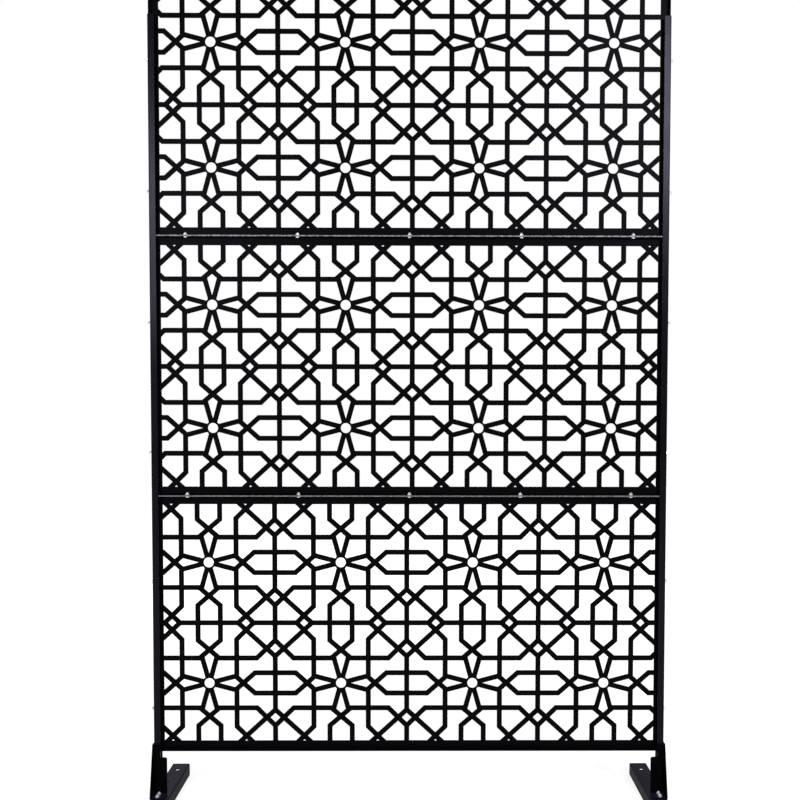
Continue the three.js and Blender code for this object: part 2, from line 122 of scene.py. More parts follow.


# %% [markdown]
# ## Finishes
# Black powder coat covers the sheet metal, in three grades of gloss. The fasteners are plated with zinc, and
# a light grey metal at the seams paints a highlight on the flanges' front edges. Colours are written as sRGB
# hex values, as a colour picker shows them, and one function turns them into the linear values that Cycles
# works in. A second small function adds a shader node together with its settings and links, which keeps each
# material short.

# %% Two helpers for materials
def linear(code):
    """A hex colour as linear RGBA: c / 12.92 below 0.04045, and ((c + 0.055) / 1.055) ** 2.4 above."""
    srgb = np.array([int(code[i:i + 2], 16) for i in (1, 3, 5)]) / 255
    low, high = srgb / 12.92, ((srgb + 0.055) / 1.055) ** 2.4
    return (*np.where(srgb <= 0.04045, low, high).tolist(), 1.0)


def add(tree, kind, inputs=(), **settings):
    """A new node with its settings. An input is a value, or another node's output to link."""
    made = tree.nodes.new(kind)
    for key, value in settings.items():
        setattr(made, key, value)
    for key, value in dict(inputs).items():
        if isinstance(value, bpy.types.NodeSocket):
            tree.links.new(value, made.inputs[key])
        else:
            made.inputs[key].default_value = value
    return made


# %% [markdown]
# ### Black powder coat
# Polyester powder is sprayed on dry and baked, so it melts to a skin about 0.08 mm thick. It isn't quite
# level: it keeps a fine orange-peel texture with grains of half a millimetre or so, and that is what tells
# it from wet paint. The panels are coated matt. The posts came out smoother, with a satin gloss and long
# highlights. The feet and brackets are duller, and what faces up on them is lighter and grey-violet: partly
# dust, partly a painted sheen. The black is a cold one: what it reflects has a faint violet cast, set as the
# shader's specular tint. Under all of them lies a wide, faint unevenness from the spray gun. Long steel
# channels also keep the faint lengthwise lines of the rolling mill, which show through the coat where light
# grazes it.

# %% Powder coat
PEEL = 0.9  # Grains are 0.5 mm on the real coat; drawn at 0.9 mm, so that they still show in a close view.
GUN_WAVE = 100 * PEEL
ROLLED_LINE, DRAWN_OUT = 2.5, 0.004  # width of a rolled line in mm, and how little it changes along z
UNEVEN_GLOSS = 0.06
# Grey-violet on what faces up: partly dust, partly a painted sheen.
DUST_AND_SHEEN = "#62628c"


def powder_coat(name, dark, light, roughness, gloss, tint, peel_depth_mm, dust_and_sheen, rolled_mm=0):
    """Noise of PEEL grains sets the bump. Noise a hundred times wider shifts colour and roughness. How much
    grey-violet lies on what faces up is set too: partly dust, partly a painted sheen. With rolled_mm, noise
    drawn out along z adds lines of that depth."""
    material = bpy.data.materials.new(name)
    material.use_nodes = True
    tree = material.node_tree
    shader = tree.nodes["Principled BSDF"]
    place = add(tree, "ShaderNodeTexCoord").outputs["Object"]
    wide = add(tree, "ShaderNodeTexNoise",
               {"Vector": place, "Scale": 1 / (GUN_WAVE * MM), "Detail": 3.0, "Roughness": 0.55})
    grain = add(tree, "ShaderNodeTexNoise",
                {"Vector": place, "Scale": 1 / (PEEL * MM), "Detail": 2.0, "Roughness": 0.5})
    colour = add(tree, "ShaderNodeMix", {"Factor": wide.outputs["Fac"]}, data_type="RGBA")
    colour.inputs["A"].default_value = linear(dark)
    colour.inputs["B"].default_value = linear(light)
    # The normal's z, above 0.6, adds grey-violet, partly dust and partly a painted sheen, and the grain breaks
    # it up.
    normal = add(tree, "ShaderNodeNewGeometry").outputs["Normal"]
    up = add(tree, "ShaderNodeSeparateXYZ", {"Vector": normal}).outputs["Z"]
    lying = add(tree, "ShaderNodeMapRange", {"Value": up, "From Min": 0.6, "From Max": 1.0, "To Max": dust_and_sheen})
    on_top = add(tree, "ShaderNodeMath", {0: lying.outputs["Result"], 1: grain.outputs["Fac"]},
                  operation="MULTIPLY")
    dust_and_sheen_mix = add(tree, "ShaderNodeMix", {"Factor": on_top.outputs["Value"]}, data_type="RGBA")
    tree.links.new(colour.outputs["Result"], dust_and_sheen_mix.inputs["A"])
    dust_and_sheen_mix.inputs["B"].default_value = linear(DUST_AND_SHEEN)
    tree.links.new(dust_and_sheen_mix.outputs["Result"], shader.inputs["Base Color"])
    rough = add(tree, "ShaderNodeMapRange",
                {"Value": wide.outputs["Fac"], "To Min": roughness - UNEVEN_GLOSS,
                 "To Max": roughness + UNEVEN_GLOSS})
    tree.links.new(rough.outputs["Result"], shader.inputs["Roughness"])
    bump = add(tree, "ShaderNodeBump",
               {"Height": grain.outputs["Fac"], "Strength": 0.5, "Distance": peel_depth_mm * MM})
    if rolled_mm:
        drawn = add(tree, "ShaderNodeMapping", {"Vector": place, "Scale": (1, 1, DRAWN_OUT)})
        lines = add(tree, "ShaderNodeTexNoise",
                    {"Vector": drawn.outputs["Vector"], "Scale": 1 / (ROLLED_LINE * MM), "Detail": 3.0})
        bump = add(tree, "ShaderNodeBump", {"Height": lines.outputs["Fac"], "Strength": 0.6,
                                            "Distance": rolled_mm * MM, "Normal": bump.outputs["Normal"]})
    tree.links.new(bump.outputs["Normal"], shader.inputs["Normal"])
    shader.inputs["IOR"].default_value = 1.5
    shader.inputs["Specular IOR Level"].default_value = gloss
    shader.inputs["Specular Tint"].default_value = linear(tint)
    return material


matt_coat = powder_coat("matt_black_powder_coat", "#040405", "#070709", 0.42, 0.03, "#e4e4ff", 0.05, 0.01)
post_coat = powder_coat("satin_black_powder_coat_on_channel", "#040406", "#08080b", 0.27, 0.11, "#dcdcff",
                        0.03, 0.01, rolled_mm=0.08)
# The feet and brackets get 0.19 of grey-violet on what faces up: dust and a painted sheen.
base_coat = powder_coat("satin_black_powder_coat_on_plate", "#040406", "#08080b", 0.42, 0.012, "#d8d6ff",
                        0.03, 0.19)
print("Powder coats:", matt_coat.name, post_coat.name, base_coat.name)

# %% [markdown]
# ### Zinc plating
# The bolts and nuts are plated in a bath, which leaves a bright grey skin of about 0.008 mm with a cool
# cast. Tumbling against each other dulls it, so its gloss changes from spot to spot within a millimetre.
# The same function makes a painted highlight for the front edges of the flanges at the seams: a light grey
# metal, broken up by patches of black coat, which draws each seam as a thin light line.

# %% Bare metals
PATCH = 9.0  # width in mm of a patch of black coat over the painted seam highlight
KNOCK_DEPTH = 0.05


def bare_metal(name, dark, light, low_rough, high_rough, spot_mm, metallic=1.0, patch_colour=None):
    """Noise of spot_mm spots mixes two tones and sets the roughness. With a hex colour for patches, a wider
    noise lays a haze of coat in that colour over the metal, thicker where the noise is higher."""
    material = bpy.data.materials.new(name)
    material.use_nodes = True
    tree = material.node_tree
    shader = tree.nodes["Principled BSDF"]
    place = add(tree, "ShaderNodeTexCoord").outputs["Object"]
    spots = add(tree, "ShaderNodeTexNoise", {"Vector": place, "Scale": 1 / (spot_mm * MM), "Detail": 4.0})
    tone = add(tree, "ShaderNodeMix", {"Factor": spots.outputs["Fac"]}, data_type="RGBA")
    tone.inputs["A"].default_value = linear(dark)
    tone.inputs["B"].default_value = linear(light)
    colour = tone.outputs["Result"]
    if patch_colour:
        wide = add(tree, "ShaderNodeTexNoise", {"Vector": place, "Scale": 1 / (PATCH * MM), "Detail": 5.0})
        kept = add(tree, "ShaderNodeMapRange",
                   {"Value": wide.outputs["Fac"], "From Min": 0.35, "From Max": 0.85})
        patches = add(tree, "ShaderNodeMix", {"Factor": kept.outputs["Result"]}, data_type="RGBA")
        tree.links.new(colour, patches.inputs["A"])
        patches.inputs["B"].default_value = linear(patch_colour)
        colour = patches.outputs["Result"]
        metal = add(tree, "ShaderNodeMath", {0: 1.0, 1: kept.outputs["Result"]}, operation="SUBTRACT")
        tree.links.new(metal.outputs["Value"], shader.inputs["Metallic"])
    else:
        shader.inputs["Metallic"].default_value = metallic
    tree.links.new(colour, shader.inputs["Base Color"])
    dull = add(tree, "ShaderNodeMapRange",
               {"Value": spots.outputs["Fac"], "To Min": low_rough, "To Max": high_rough})
    tree.links.new(dull.outputs["Result"], shader.inputs["Roughness"])
    knocks = add(tree, "ShaderNodeBump",
                 {"Height": spots.outputs["Fac"], "Strength": 0.3, "Distance": KNOCK_DEPTH * MM})
    tree.links.new(knocks.outputs["Normal"], shader.inputs["Normal"])
    return material


zinc = bare_metal("bright_zinc_plating", "#e0e2e6", "#f8f8f6", 0.26, 0.46, 1.2, metallic=0.5)
# A painted highlight: light grey metal with patches of black coat on the flanges' front edges at the seams.
seam_highlight = bare_metal("painted_seam_highlight", "#8c8c92", "#a6a6a8", 0.40, 0.55, 1.5, patch_colour="#0c0c0f")
print("Bare metals:", zinc.name, seam_highlight.name)

# %% [markdown]
# ## Sheet metal, the way it is made
# Pans, posts, feet and brackets all start as a flat blank. A laser cuts the outline and the holes, and a
# press brake then folds the flanges. The script works in the same order. A constrained Delaunay
# triangulation fills the blank between its cut lines. Then a formula moves each point of the blank to its
# place in the folded part. The advantage over a bevelled box is that folds, reliefs and holes come out as
# they do on the real part, with the same wall thickness everywhere.

# %% Cut a blank
def circle(x, y, diameter, sides=24):
    """Points (x + r cos t, y + r sin t)."""
    t = 2 * np.pi * np.arange(sides) / sides
    return np.array([x, y]) + diameter / 2 * np.c_[np.cos(t), np.sin(t)]


def rounded(outline, radius, steps=4):
    """Each corner P becomes the curve (1 - s)^2 A + 2 s (1 - s) P + s^2 B, where A and B lie that radius
    before and after it along the outline. A radius may be one number, or one for each corner."""
    outline = np.asarray(outline, float)
    reach = np.broadcast_to(np.asarray(radius, float), len(outline))[:, None]
    before, after = np.roll(outline, 1, 0) - outline, np.roll(outline, -1, 0) - outline
    a = outline + reach * before / np.linalg.norm(before, axis=1)[:, None]
    b = outline + reach * after / np.linalg.norm(after, axis=1)[:, None]
    s = np.linspace(0, 1, steps)[None, :, None]
    curve = (1 - s) ** 2 * a[:, None] + 2 * s * (1 - s) * outline[:, None] + s ** 2 * b[:, None]
    kept = np.ones((len(outline), steps), dtype=bool)
    kept[:, 1:] = reach > 0
    return curve[kept]


def doubled_area(loop):
    """Sum of x1 y2 - x2 y1 along a loop: twice its area, above 0 if it runs anticlockwise."""
    ahead = np.roll(loop, -1, 0)
    return (loop[:, 0] * ahead[:, 1] - ahead[:, 0] * loop[:, 1]).sum()


def cut_blank(outline, holes, creases=(), window=None, smallest=4):
    """(points, triangles) of a flat blank. Creases are segments that triangles may not cross. Holes are cut
    only inside the window, if there is one, and not where less than the smallest area is left of one."""
    windows = [] if window is None else [window]
    loops = [np.asarray(loop, float) for loop in [outline] + windows + list(holes)]
    loops = [loop if doubled_area(loop) > 0 else loop[::-1] for loop in loops]
    starts = np.cumsum([0] + [len(loop) for loop in loops])
    faces = [list(range(a, b)) for a, b in zip(starts, starts[1:])]
    edges = [(starts[-1] + 2 * i, starts[-1] + 2 * i + 1) for i in range(len(creases))]
    points = np.concatenate(loops + list(creases))
    made = delaunay_2d_cdt([Vector(p) for p in points.tolist()], edges, faces, 0, 1e-4, True)
    points, triangles = np.array([p[:] for p in made[0]]), np.array(made[2])
    first_hole = 1 + len(windows)
    a, b, c = (points[triangles[:, i]] for i in range(3))
    area = abs((b[:, 0] - a[:, 0]) * (c[:, 1] - a[:, 1]) - (b[:, 1] - a[:, 1]) * (c[:, 0] - a[:, 0])) / 2
    owner = np.array([max(ids) if ids and (not windows or 1 in ids) else 0 for ids in made[5]])
    on_blank = np.array([0 in ids for ids in made[5]])
    cut_area = np.bincount(owner, weights=area, minlength=len(loops))
    cut = (owner >= first_hole) & (cut_area[owner] > smallest)
    triangles = triangles[on_blank & ~cut]
    used, numbers = np.unique(triangles, return_inverse=True)
    return points[used], numbers.reshape(-1, 3)


# %% [markdown]
# A fold is a quarter turn about an axis beside the sheet. Along the middle of the sheet the fold is as long
# as the arc, so lengths on the flat blank and on the part agree. Powder coat rounds the cut rims. A bevel of
# a quarter of a millimetre stands for that here, so that they catch a thin line of light.

# %% Fold it, and give it its thickness
def folded(along, height, start, radius, turn=1):
    """Bends what lies beyond |along| = start towards +height (turn 1) or -height (turn -1). With
    t = (|along| - start) / radius, kept within 0 and a quarter turn, and rest = what is left beyond the arc:
    along' = start + (radius - height) sin t + rest cos t,
    height' = radius - (radius - height) cos t + rest sin t."""
    height = height * turn
    beyond = np.abs(along) - start
    t = np.clip(beyond / radius, 0, np.pi / 2)
    rest = beyond - t * radius
    reach = start + (radius - height) * np.sin(t) + rest * np.cos(t)
    rise = radius - (radius - height) * np.cos(t) + rest * np.sin(t)
    return np.sign(along) * reach, np.where(beyond > 0, rise, height) * turn


def creases_over(start, radius, low, high, sides=(-1, 1)):
    """Creases along v from low to high, over the arcs that begin at u = start and at u = -start. Four facets
    make the arc, and one more crease close beside it at each end keeps its shading off the flat sheet."""
    turn = np.array([-0.15, 0, 0.25, 0.5, 0.75, 1, 1.15])
    at = np.outer(sides, start + radius * np.pi / 2 * turn).ravel()
    ends = np.broadcast_to([low, high], (len(at), 2))
    return list(np.stack([np.repeat(at[:, None], 2, axis=1), ends], axis=2))


LEAST_SPREAD = 0.35  # keeps the mitre of a sharp corner short


def sheet_metal(blank, thickness, place, rim=0.25):
    """Both faces of the sheet and the cut rims between them. place(u, v, w) takes a point of the blank, with
    w its height above the middle of the sheet, to its place (x, y, z). At a rim, the faces stop short by the
    rim's bevel, measured along the mitre (n1 + n2) / (1 + n1 . n2) of the two cut edges."""
    points, triangles = blank
    sides = np.concatenate([triangles[:, [0, 1]], triangles[:, [1, 2]], triangles[:, [2, 0]]])
    count = len(points)
    rims = sides[~np.isin(sides @ [count, 1], sides @ [1, count])]
    heading = points[rims[:, 1]] - points[rims[:, 0]]
    heading /= np.linalg.norm(heading, axis=1)[:, None]
    inward = np.c_[-heading[:, 1], heading[:, 0]]
    leaving, arriving = np.zeros((count, 2)), np.zeros((count, 2))
    leaving[rims[:, 0]], arriving[rims[:, 1]] = inward, inward
    spread = np.maximum(1 + (leaving * arriving).sum(axis=1), LEAST_SPREAD)
    drawn_in = points + rim * (leaving + arriving) / spread[:, None]
    edge = np.unique(rims)
    number = np.zeros(count, dtype=int)
    number[edge] = np.arange(len(edge))
    half = thickness / 2
    rows = [(drawn_in, half), (points[edge], half - rim), (points[edge], rim - half), (drawn_in, -half)]
    placed = np.concatenate([place(uv[:, 0], uv[:, 1], np.full(len(uv), w)) for uv, w in rows])
    a, b = rims[:, 0], rims[:, 1]
    upper, lower, under = count, count + len(edge), count + 2 * len(edge)
    bands = [
        np.c_[b, a, number[a] + upper, number[b] + upper],
        np.c_[number[b] + upper, number[a] + upper, number[a] + lower, number[b] + lower],
        np.c_[number[b] + lower, number[a] + lower, a + under, b + under],
    ]
    return placed, [triangles, triangles[:, ::-1] + under, np.concatenate(bands)]


# %% [markdown]
# ## The lattice
# The pattern is a traditional one: eight-spoked flowers on a grid, in square frames, with a cross in a large
# diamond between each four. It is drawn as a carpenter would draw a lattice, from the centre lines of its
# strips. Each opening is a ring of lines. The lines move half a strip's width inwards, and the corners are
# where neighbours cross. So one number sets the width of every strip. Only the openings of one flower and
# one cross are worked out. Mirroring and the grid give the rest.

# %% Openings from centre lines
FLOWER_PITCH = np.array([308.7, 285.3])
STRIP = 12.0
LASER_CORNER = 0.7


def line(x, z, slope):
    """A centre line through (x, z), at a slope in degrees: [x, z, cos slope, sin slope]."""
    return [x, z, np.cos(np.radians(slope)), np.sin(np.radians(slope))]


def crossings(lines):
    """Where each line p + t d crosses the one before it, q + s e: t = (q - p) x e / (d x e)."""
    p, d = np.array(lines)[:, :2], np.array(lines)[:, 2:]
    q, e = np.roll(p, 1, 0), np.roll(d, 1, 0)
    cross = lambda a, b: a[:, 0] * b[:, 1] - a[:, 1] * b[:, 0]
    return p + (cross(q - p, e) / cross(d, e))[:, None] * d


def opening(*lines):
    """The corners left inside a ring of centre lines: each line moves half a strip towards the inside."""
    corners = crossings(lines)
    heading = np.roll(corners, -1, 0) - corners
    heading *= np.sign(doubled_area(corners)) / np.linalg.norm(heading, axis=1)[:, None]
    inward = np.c_[-heading[:, 1], heading[:, 0]]
    return crossings(np.c_[corners + inward * STRIP / 2, heading])


def mirrored(outline, signs_x, signs_z):
    """The outline times each pair of signs."""
    return [outline * np.array([sx, sz]) for sx in signs_x for sz in signs_z]


# %% [markdown]
# ### Flower and cross
# A flower has four petals, four quarters round its hub, four boat-shaped openings where the strips past a
# petal's tip run on, and the larger openings that it shares with its frame. The four quarters end at a small
# round hub with a hole through it.

# %% Openings of one flower and one cross
HALF_X, HALF_Z = FLOWER_PITCH / 2
DIAMOND = np.array([86.3, 79.1])
DIAMOND_SLOPE = np.degrees(np.arctan2(DIAMOND[1], DIAMOND[0]))
PETAL_ANGLES = 14.8, 15.6
RAILS = 64.0, 59.2
TIPS, TIP_SLOPES = (79.5, 78.8), (41.7, 40.6)
BANDS = 26.2, 24.1
FORKS, FORK_SLOPE = (50.5, 41.2), 44.5
HUB_HOLE, HUB_RADIUS = 23.2, 16.5
BOTH = 1, -1


def cut_back(outline, radius, steps=8):
    """The corner nearest the middle becomes an arc about the middle, between the points where the sides
    from that corner, c + t d, reach the radius: t = sqrt((c . d)^2 + radius^2 - c . c) - c . d."""
    outline = np.roll(outline, -np.hypot(*outline.T).argmin(), axis=0)
    c = outline[0]
    heading = outline[[-1, 1]] - c
    heading /= np.linalg.norm(heading, axis=1)[:, None]
    along = heading @ c
    ends = c + (np.sqrt(along ** 2 + radius ** 2 - c @ c) - along)[:, None] * heading
    angles = np.linspace(*np.arctan2(ends[:, 1], ends[:, 0]), steps)
    return np.concatenate([radius * np.c_[np.cos(angles), np.sin(angles)], outline[1:]])


def flower():
    """All openings round a flower's middle, within half a pitch of it."""
    level, upright = (lambda z: line(0, z, 0)), (lambda x: line(x, 0, 90))
    petal_x, petal_x_below = line(0, 0, PETAL_ANGLES[0]), line(0, 0, -PETAL_ANGLES[0])
    petal_z, petal_z_left = line(0, 0, 90 - PETAL_ANGLES[1]), line(0, 0, 90 + PETAL_ANGLES[1])
    tip_x, tip_x_falling = line(TIPS[0], 0, TIP_SLOPES[0]), line(TIPS[0], 0, -TIP_SLOPES[0])
    tip_z, tip_z_falling = line(0, TIPS[1], TIP_SLOPES[1]), line(0, TIPS[1], -TIP_SLOPES[1])
    diamond = line(HALF_X - DIAMOND[0], HALF_Z, -DIAMOND_SLOPE)
    fork_x, fork_z = line(HALF_X - FORKS[0], HALF_Z, FORK_SLOPE), line(HALF_X, HALF_Z - FORKS[1], FORK_SLOPE)
    rail_x, rail_z, edge_x, edge_z = upright(RAILS[0]), level(RAILS[1]), upright(HALF_X), level(HALF_Z)
    between = opening(petal_x, rail_x, rail_z, petal_z)
    beside = opening(rail_x, tip_x_falling, tip_x, level(BANDS[1]), edge_x, diamond, fork_z, rail_z)
    above = opening(rail_z, rail_x, fork_x, diamond, edge_z, upright(BANDS[0]), tip_z, tip_z_falling)
    corner = opening(rail_x, rail_z, fork_z, diamond, fork_x)
    four = [rounded(outline, LASER_CORNER) for outline in (beside, above, corner)]
    sides = [opening(petal_x_below, tip_x, tip_x_falling, petal_x),
             opening(tip_x, tip_x_falling, level(-BANDS[1]), edge_x, level(BANDS[1]))]
    ends = [opening(petal_z, tip_z_falling, tip_z, petal_z_left),
            opening(tip_z_falling, tip_z, upright(BANDS[0]), edge_z, upright(-BANDS[0]))]
    four.append(cut_back(between, HUB_RADIUS))
    made = [circle(0, 0, HUB_HOLE, 32)]
    made += [copy for outline in four for copy in mirrored(outline, BOTH, BOTH)]
    made += [copy for outline in sides for copy in mirrored(rounded(outline, LASER_CORNER), BOTH, [1])]
    return made + [copy for outline in ends for copy in mirrored(rounded(outline, LASER_CORNER), [1], BOTH)]


def cross():
    """All openings inside the large diamond round a cross: four quarters, and the ends of the four arms."""
    arm_x, arm_z = line(0, 0, 0), line(0, 0, 90)
    rising_x, rising_z = line(FORKS[0], 0, FORK_SLOPE), line(0, FORKS[1], FORK_SLOPE)
    falling_x, falling_z = line(FORKS[0], 0, -FORK_SLOPE), line(0, FORKS[1], -FORK_SLOPE)
    edge, edge_below = line(DIAMOND[0], 0, -DIAMOND_SLOPE), line(DIAMOND[0], 0, DIAMOND_SLOPE)
    edge_left = line(-DIAMOND[0], 0, DIAMOND_SLOPE)
    quarter = rounded(opening(arm_x, rising_x, edge, rising_z, arm_z), LASER_CORNER)
    end_x = rounded(opening(rising_x, edge, edge_below, falling_x), LASER_CORNER)
    end_z = rounded(opening(rising_z, edge, edge_left, falling_z), LASER_CORNER)
    return mirrored(quarter, BOTH, BOTH) + mirrored(end_x, BOTH, [1]) + mirrored(end_z, [1], BOTH)


print("Openings of a flower:", len(flower()), "of a cross:", len(cross()))

# %% [markdown]
# ### Panels
# Each panel is a pan: its face is pierced, and flanges on all four sides fold forward and stiffen it. The
# corners are notched, so that the flanges don't meet. A plain border of 20 mm is left round the pattern,
# which is simply cut off there. The same pan serves three times. The lowest one is turned end for end, which
# puts its pattern on the other side of the middle, as the photograph shows.

# %% Fold one pan
BORDER = 20.0
LATTICE_SHIFT = 6.2
SHEET, PAN_BEND = 1.2, 1.4
BOLT_HOLE = 5.6
SEAM_BOLTS, SEAM_BOLT_INSET = 5, 79.2
SIDE_BOLT_HEIGHTS = 100.0, 400.0


def cad(name):
    """The lowest and highest corner of a CAD node, in millimetres."""
    return np.array(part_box(name)) / MM


def flat_length(start, bend, depth, thickness):
    """How far a flange reaches on the blank, from the middle: start + arc + what is left of its depth."""
    return start + bend * np.pi / 2 + depth - bend - thickness / 2


panel_low, panel_high = cad("panel_middle")
half_size = (panel_high - panel_low)[[0, 2]] / 2
pan_depth = panel_high[1] - panel_low[1]
fold_start = half_size - PAN_BEND - SHEET / 2
flange_end = flat_length(fold_start, PAN_BEND, pan_depth, SHEET)
hole_line = flat_length(fold_start, PAN_BEND, (pan_depth + SHEET) / 2, SHEET)

# The outline of the blank, one quarter of it mirrored to four: two flanges and the notch between them.
notch = [[flange_end[0], fold_start[1]], fold_start, [fold_start[0], flange_end[1]]]
quarters = [np.array(notch)[::sx * sz] * [sx, sz] for sx, sz in ((1, 1), (-1, 1), (-1, -1), (1, -1))]
window = (half_size - BORDER) * np.array([[-1, -1], [1, -1], [1, 1], [-1, 1]])

grid_x = LATTICE_SHIFT + FLOWER_PITCH[0] * np.arange(-3, 4)
grid_z = FLOWER_PITCH[1] * np.arange(-2, 3)
middles = np.stack(np.meshgrid(grid_x, grid_z), axis=-1).reshape(-1, 2)
openings = [loop + middle for middle in middles for loop in cross()]
openings += [loop + middle + FLOWER_PITCH / 2 for middle in middles for loop in flower()]
openings = [loop for loop in openings if (np.abs(loop) < half_size - BORDER).all(axis=1).any()]
bolt_reach = half_size[0] - SEAM_BOLT_INSET
bolt_holes = [circle(x, side * hole_line[1], BOLT_HOLE)
              for x in np.linspace(-bolt_reach, bolt_reach, SEAM_BOLTS) for side in BOTH]
bolt_holes += [circle(side * hole_line[0], turn * (height - half_size[1]), BOLT_HOLE)
               for height in SIDE_BOLT_HEIGHTS for side in BOTH for turn in BOTH]
print("Openings:", len(openings), "bolt holes:", len(bolt_holes))

# %% Cut it, fold it and place it three times
pan_creases = creases_over(fold_start[0], PAN_BEND, -fold_start[1], fold_start[1])
lying_creases = creases_over(fold_start[1], PAN_BEND, -fold_start[0], fold_start[0])
pan_creases += [crease[:, ::-1] for crease in lying_creases]
pan_blank = cut_blank(np.concatenate(quarters), openings + bolt_holes, pan_creases, window)
seams = np.array([cad("panel_middle")[0][2], cad("panel_middle")[1][2]])
EDGE_DEPTH, EDGE_HEIGHT = 0.3, 2.0  # of the flanges' front edges, where a painted highlight lies


def panel(name, turn):
    """x = u and z = v of the folded blank, times turn, about the CAD panel's middle; y = back face - w."""
    low, high = cad(name)
    middle = (low + high) / 2

    def place(u, v, w):
        x, w = folded(u, w, fold_start[0], PAN_BEND)
        z, w = folded(v, w, fold_start[1], PAN_BEND)
        return np.c_[middle[0] + turn * x, high[1] - SHEET / 2 - w, middle[2] + turn * z]

    # The flanges' front edges at the seams get the light grey metal that paints a highlight along each seam.
    def at_seam(x, y, z):
        off = np.abs(z - seams[:, None]).min(axis=0)
        return (y < low[1] + EDGE_DEPTH) & (off < EDGE_HEIGHT)

    return make_piece(name + "_pan", *sheet_metal(pan_blank, SHEET, place), matt_coat, "coated_panel", name,
                      painted_light=seam_highlight, where=at_seam)


for name, turn in (("panel_bottom", -1), ("panel_middle", 1), ("panel_top", 1)):
    made = panel(name, turn)
    print(made.name, len(made.data.polygons), "faces")

# %% [markdown]
# ## Posts
# The posts are channels with the panels' side flanges inside them. Each side has a lower and an upper length
# that meet end to end beside the middle panel, so that the screen packs small. A bolt through each flange
# and post holds them together. The channel's lips are what one sees from the front: a narrow satin strip,
# rounded where the sheet was folded.

# %% Posts
POST_WALL, POST_BEND = 1.5, 1.65
POST_BOLT_HEIGHT = 59.5
bolt_line = (cad("side_bolt_right_1")[0][1] + cad("side_bolt_right_1")[1][1]) / 2


def post(name, side):
    """A channel: y = -u and z = v of the folded blank, x = side * (outer face - w)."""
    low, high = cad(name)
    half, outer = high[1], np.abs([low[0], high[0]]).max()
    depth = outer - np.abs([low[0], high[0]]).min()
    start = half - POST_BEND - POST_WALL / 2
    reach = flat_length(start, POST_BEND, depth, POST_WALL)
    outline = rounded([[-reach, low[2]], [reach, low[2]], [reach, high[2]], [-reach, high[2]]], 1.0)
    heights = [cad(f"side_bolt_right_{i}")[:, 2].mean() for i in range(1, 7)]
    holes = [circle(-bolt_line, z, BOLT_HOLE) for z in heights if low[2] < z < high[2]]
    if low[2] < POST_BOLT_HEIGHT:
        holes.append(circle(0, POST_BOLT_HEIGHT, BOLT_HOLE))
    blank = cut_blank(outline, holes, creases_over(start, POST_BEND, low[2], high[2]))

    def place(u, v, w):
        across, w = folded(u, w, start, POST_BEND)
        return np.c_[outer - POST_WALL / 2 - w, -across, v]

    channel = on_side(sheet_metal(blank, POST_WALL, place), side)
    return make_piece(name + "_channel", *channel, post_coat, "coated_post", name)


for side, label in ((-1, "left"), (1, "right")):
    for part in ("lower", "upper"):
        made = post(f"post_{label}_{part}", side)
        print(made.name, len(made.data.polygons), "faces")

# %% [markdown]
# ## Feet
# Each foot is a wider channel that lies with its open side down, across the screen's plane. Near each end a
# hole takes a ground stake, and two holes in front of the post take the bracket's bolts. One more bolt hole
# stays free in front and behind.

# %% Feet
FOOT_WALL, FOOT_BEND = 2.0, 1.9
STAKE_HOLE, STAKE_HOLE_INSET, SPARE_HOLE_REACH = 9.0, 38.0, 63.5


def middle_of(name):
    """The middle of a CAD node's box."""
    return cad(name).mean(axis=0)


def foot(side, label):
    """A channel: y = v, z = top - w and x = side * (middle - u) of the folded blank."""
    low, high = cad(f"foot_{label}")
    middle, half = abs(low[0] + high[0]) / 2, (high[0] - low[0]) / 2
    start = half - FOOT_BEND - FOOT_WALL / 2
    reach = flat_length(start, FOOT_BEND, high[2] - low[2], FOOT_WALL)
    outline = rounded([[-reach, low[1]], [reach, low[1]], [reach, high[1]], [-reach, high[1]]], 2.0)
    holes = [circle(0, end * (high[1] - STAKE_HOLE_INSET), STAKE_HOLE, 32) for end in BOTH]
    bolts = [middle_of(f"foot_nut_{label}_{i}") for i in (1, 2)]
    line_x = middle - abs(bolts[0][0])
    bolt_lines = (bolts[0][1], bolts[1][1], -SPARE_HOLE_REACH, SPARE_HOLE_REACH)
    holes += [circle(line_x, y, BOLT_HOLE) for y in bolt_lines]
    blank = cut_blank(outline, holes, creases_over(start, FOOT_BEND, low[1], high[1]))

    def place(u, v, w):
        across, w = folded(u, w, start, FOOT_BEND)
        return np.c_[middle - across, v, high[2] - FOOT_WALL / 2 - w]

    channel = on_side(sheet_metal(blank, FOOT_WALL, place), side)
    return make_piece(f"foot_{label}_channel", *channel, base_coat, "coated_base", f"foot_{label}")


for side, label in ((-1, "left"), (1, "right")):
    made = foot(side, label)
    print(made.name, len(made.data.polygons), "faces")

# %% [markdown]
# ## Brackets
# A bracket ties each post to its foot. One blank of 2.5 mm plate gives the web in front of the post and the
# tongue, which folds forward onto the foot. The outer wall is a second plate, welded on. It runs along the
# post's side, takes the bolt through it, and stands in front of the web as well, as a gusset that widens
# downwards to the tongue's front edge. The web is wide under the panel and narrow beside it.

# %% Brackets
PLATE, BRACKET_BEND = 2.5, 2.75
POST_PLAY = 0.3
SHOULDER, NECK, SHOULDER_CUT = 117.0, 18.5, 3.0
GUSSET_TOP_REACH = 12.8
SINK_HEAD = 9.2


